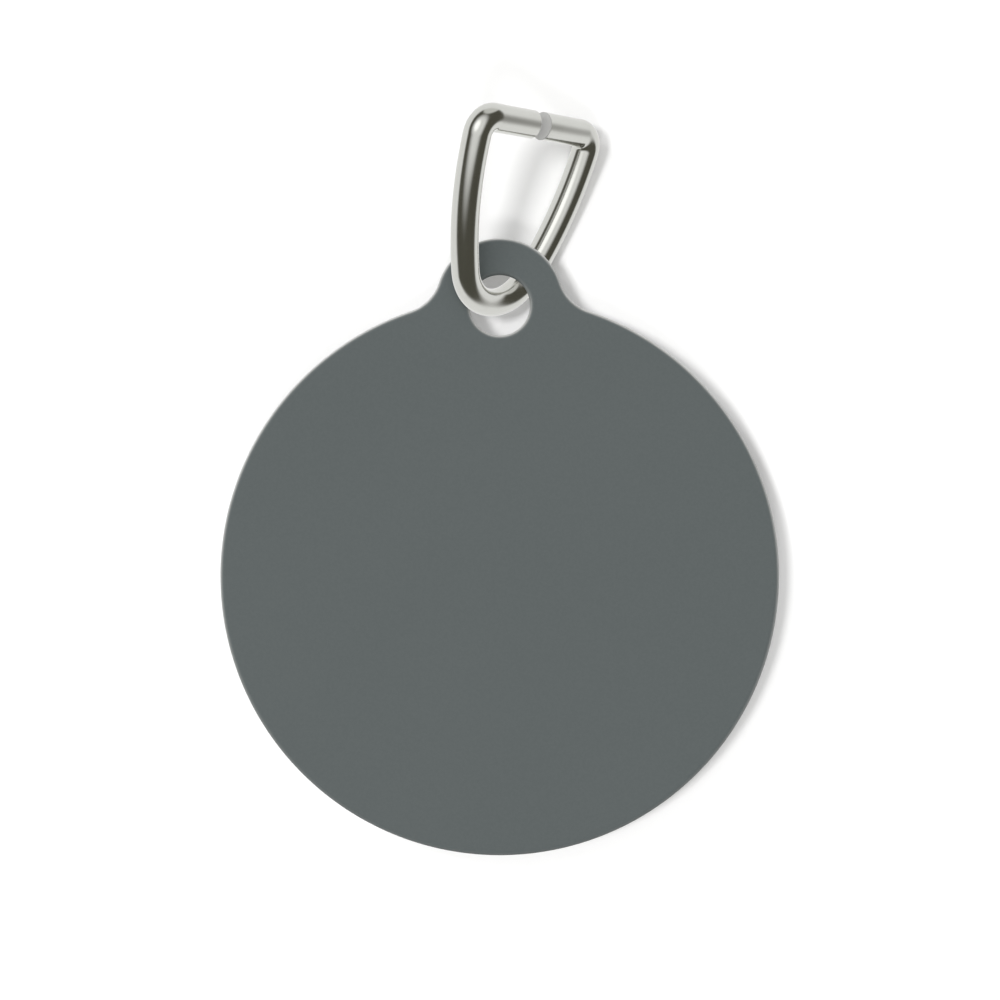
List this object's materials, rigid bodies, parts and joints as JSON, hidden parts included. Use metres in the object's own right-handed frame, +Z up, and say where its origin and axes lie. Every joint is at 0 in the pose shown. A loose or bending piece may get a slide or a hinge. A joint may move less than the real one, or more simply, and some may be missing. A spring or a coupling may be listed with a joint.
{
  "type": "pet id tag",
  "caption": "Flat round metal pet tag with a holed ear, a slate coated face and a bent-wire triangular ring that swings in the hole to hang it from a collar.",
  "frame": {"origin": "on the lowest level of the part, which is the underside of the wire ring, under the middle of its box", "axes": "+Z up out of the tag's face, +Y from the disc towards the ear, +X to the right as seen from the front"},
  "size_m": [0.0254, 0.0334, 0.0074],
  "materials": {
    "bare_metal": "satin, rounded edges",
    "slate_coat": "smooth slate grey film",
    "bright_wire": "polished, nickel look"
  },
  "bodies": {
    "tag": {"tag_blank": "bare_metal", "face_coat": "slate_coat"},
    "ring": {"wire_ring": "bright_wire"}
  },
  "joints": [
    {"name": "ring_swing", "type": "hinge", "parent": "tag", "child": "ring", "pos_m": [0, 0.00826, 0.00184], "axis": [0, 0, 1], "range_deg": [-72, 124]}
  ]
}
